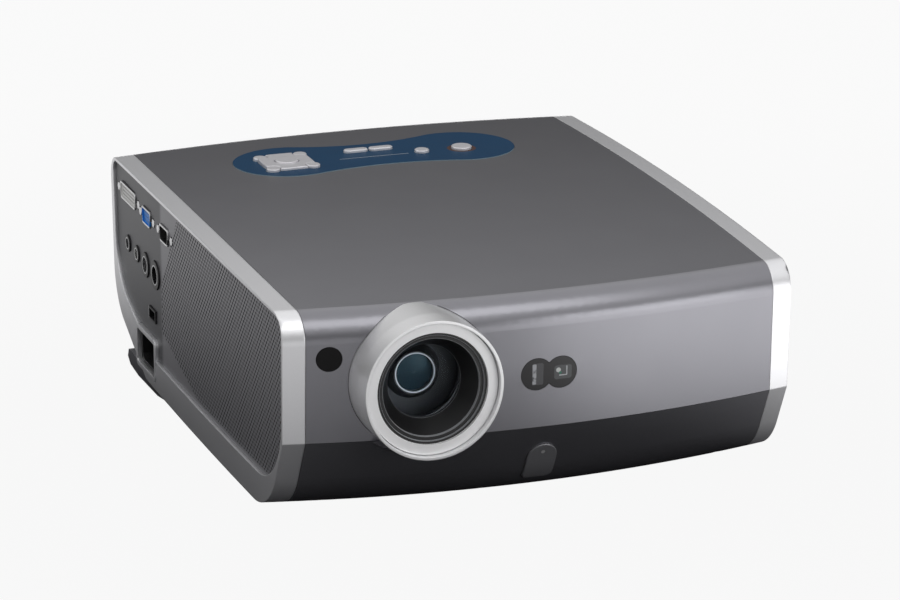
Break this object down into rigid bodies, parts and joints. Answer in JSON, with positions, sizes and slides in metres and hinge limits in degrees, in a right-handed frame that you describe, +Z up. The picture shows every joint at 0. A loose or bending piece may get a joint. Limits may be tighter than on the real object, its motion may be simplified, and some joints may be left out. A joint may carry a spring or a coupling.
{
  "type": "video projector",
  "caption": "Compact office video projector with a recessed zoom lens, silver side frames, top key panel, side sockets and a drop-down front leg.",
  "frame": {"origin": "middle of the footprint, on the floor the feet stand on", "axes": "+Z up, the lens looks along -Y, +X to the right seen from the front"},
  "size_m": [0.272, 0.3493, 0.1203],
  "materials": {
    "dark_case": "metallic grey paint, satin",
    "silver_frame": "silver paint, satin",
    "dark_grille": "perforated dark grey",
    "blue_plate": "dark blue, smooth",
    "window": "smoked, glossy",
    "key_grey": "pale grey key cap",
    "rubber": "matt rubber",
    "steel": "zinc plated",
    "nickel": "nickel plated shell",
    "alloy_ring": "fine turned ring",
    "black": "black",
    "glass": "coated glass",
    "board": "green circuit board",
    "blue_insert": "blue socket",
    "white_insert": "white socket",
    "alloy": "sheet and die casting",
    "filter_foam": "pleated filter",
    "ceramic": "white ceramic"
  },
  "bodies": {
    "casing": {"top_cover": "dark_case", "bottom_pan": "dark_case", "left_side_frame": "silver_frame", "right_side_frame": "silver_frame", "left_side_panel": "dark_grille", "right_side_panel": "dark_grille", "control_plate": "blue_plate", "sensor_window": "window", "autofocus_window": "window", "key_board": "board", "lens_collar": "alloy_ring", "lens_barrel": "black", "lens_motors": "steel", "rear_foot": "rubber", "case_screws": "steel", "ac_inlet_frame": "silver_frame", "ac_inlet": "black", "terminal_board": "board", "dvi_socket": "white_insert", "vga_socket": "blue_insert", "serial_socket": "nickel", "jack_block": "black", "main_board": "board", "power_supply": "alloy", "optics_frame": "alloy", "prism_block": "glass", "display_panels": "board", "lamp_housing": "black", "lamp_reflector": "ceramic", "lamp_burner": "glass", "intake_fan_frame": "black", "exhaust_fan_frame": "black"},
    "leg": {"front_leg": "black", "front_leg_pad": "rubber"},
    "release": {"leg_release_button": "key_grey"},
    "screw_foot": {"rear_screw_foot": "steel"},
    "foot_wheel": {"rear_foot_wheel": "rubber"},
    "lamp_hatch": {"lamp_door": "dark_case"},
    "filter_hatch": {"filter_cover": "dark_case", "air_filter": "filter_foam"},
    "focus_gear": {"focus_ring": "black"},
    "focus_cell": {"focus_barrel": "alloy_ring", "front_lens": "glass"},
    "focus_drive": {"focus_pinion": "black"},
    "zoom_gear": {"zoom_ring": "black"},
    "zoom_cell": {"zoom_group": "black", "zoom_lens": "glass"},
    "zoom_drive": {"zoom_pinion": "black"},
    "intake_rotor": {"intake_fan_rotor": "black"},
    "exhaust_rotor": {"exhaust_fan_rotor": "black"},
    "nav_pad_body": {"nav_pad": "key_grey"},
    "ok_button_body": {"ok_button": "key_grey"},
    "power_button_body": {"power_button": "key_grey"},
    "standby_key_body": {"standby_key": "key_grey"},
    "corner_button_1_body": {"corner_button_1": "key_grey"},
    "corner_button_2_body": {"corner_button_2": "key_grey"},
    "corner_button_3_body": {"corner_button_3": "key_grey"},
    "corner_button_4_body": {"corner_button_4": "key_grey"},
    "oblong_button_1_body": {"oblong_button_1": "key_grey"},
    "oblong_button_2_body": {"oblong_button_2": "key_grey"}
  },
  "joints": [
    {"name": "front_leg_slide", "type": "slide", "parent": "casing", "child": "leg", "axis": [0, 0, -1], "range_m": [0, 0.035]},
    {"name": "leg_release_press", "type": "slide", "parent": "casing", "child": "release", "axis": [0, 1, 0], "range_m": [0, 0.0025], "stiffness_N_per_m": 800},
    {"name": "screw_foot_lift", "type": "slide", "parent": "casing", "child": "screw_foot", "axis": [0, 0, -1], "range_m": [0, 0.006]},
    {"name": "foot_wheel_turn", "type": "hinge", "parent": "screw_foot", "child": "foot_wheel", "pos_m": [0.098, 0.086, 0.003], "axis": [0, 0, -1], "range_deg": [0, 2200]},
    {"name": "lamp_hatch_pull", "type": "slide", "parent": "casing", "child": "lamp_hatch", "axis": [0, 0, -1], "range_m": [0, 0.02]},
    {"name": "filter_hatch_pull", "type": "slide", "parent": "casing", "child": "filter_hatch", "axis": [0, 0, -1], "range_m": [0, 0.015]},
    {"name": "focus_turn", "type": "hinge", "parent": "casing", "child": "focus_gear", "pos_m": [-0.067, -0.138, 0.0801], "axis": [0, 1, 0], "range_deg": [0, 70.3]},
    {"name": "focus_travel", "type": "slide", "parent": "casing", "child": "focus_cell", "axis": [0, -1, 0], "range_m": [0, 0.004]},
    {"name": "focus_pinion_turn", "type": "hinge", "parent": "casing", "child": "focus_drive", "pos_m": [-0.0307, -0.138, 0.0801], "axis": [0, 1, 0], "range_deg": [-545, 5]},
    {"name": "zoom_turn", "type": "hinge", "parent": "casing", "child": "zoom_gear", "pos_m": [-0.067, -0.109, 0.0801], "axis": [0, 1, 0], "range_deg": [0, 60.3]},
    {"name": "zoom_travel", "type": "slide", "parent": "casing", "child": "zoom_cell", "axis": [0, 1, 0], "range_m": [0, 0.014]},
    {"name": "zoom_pinion_turn", "type": "hinge", "parent": "casing", "child": "zoom_drive", "pos_m": [-0.0307, -0.109, 0.0801], "axis": [0, 1, 0], "range_deg": [-465, 5]},
    {"name": "intake_fan_spin", "type": "hinge", "parent": "casing", "child": "intake_rotor", "pos_m": [-0.058, -0.072, 0.021], "axis": [0, 0, 1], "continuous": true},
    {"name": "exhaust_fan_spin", "type": "hinge", "parent": "casing", "child": "exhaust_rotor", "pos_m": [0.104, 0.082, 0.064], "axis": [1, 0, 0], "continuous": true},
    {"name": "nav_pad_press", "type": "slide", "parent": "casing", "child": "nav_pad_body", "axis": [0, 0, -1], "range_m": [0, 0.0008], "stiffness_N_per_m": 400},
    {"name": "ok_button_press", "type": "slide", "parent": "casing", "child": "ok_button_body", "axis": [0, 0, -1], "range_m": [0, 0.0008], "stiffness_N_per_m": 400},
    {"name": "power_button_press", "type": "slide", "parent": "casing", "child": "power_button_body", "axis": [0, 0, -1], "range_m": [0, 0.0008], "stiffness_N_per_m": 400},
    {"name": "standby_key_press", "type": "slide", "parent": "casing", "child": "standby_key_body", "axis": [0, 0, -1], "range_m": [0, 0.0008], "stiffness_N_per_m": 400},
    {"name": "corner_button_1_press", "type": "slide", "parent": "casing", "child": "corner_button_1_body", "axis": [0, 0, -1], "range_m": [0, 0.0008], "stiffness_N_per_m": 400},
    {"name": "corner_button_2_press", "type": "slide", "parent": "casing", "child": "corner_button_2_body", "axis": [0, 0, -1], "range_m": [0, 0.0008], "stiffness_N_per_m": 400},
    {"name": "corner_button_3_press", "type": "slide", "parent": "casing", "child": "corner_button_3_body", "axis": [0, 0, -1], "range_m": [0, 0.0008], "stiffness_N_per_m": 400},
    {"name": "corner_button_4_press", "type": "slide", "parent": "casing", "child": "corner_button_4_body", "axis": [0, 0, -1], "range_m": [0, 0.0008], "stiffness_N_per_m": 400},
    {"name": "oblong_button_1_press", "type": "slide", "parent": "casing", "child": "oblong_button_1_body", "axis": [0, 0, -1], "range_m": [0, 0.0008], "stiffness_N_per_m": 400},
    {"name": "oblong_button_2_press", "type": "slide", "parent": "casing", "child": "oblong_button_2_body", "axis": [0, 0, -1], "range_m": [0, 0.0008], "stiffness_N_per_m": 400}
  ],
  "couplings": [
    {"joint": "foot_wheel_turn", "follows": "screw_foot_lift", "rad_per_m": 6283.2},
    {"joint": "focus_turn", "follows": "focus_travel", "rad_per_m": 305.43},
    {"joint": "focus_pinion_turn", "follows": "focus_travel", "rad_per_m": -2334.4},
    {"joint": "zoom_turn", "follows": "zoom_travel", "rad_per_m": 74.8},
    {"joint": "zoom_pinion_turn", "follows": "zoom_travel", "rad_per_m": -571.69}
  ]
}
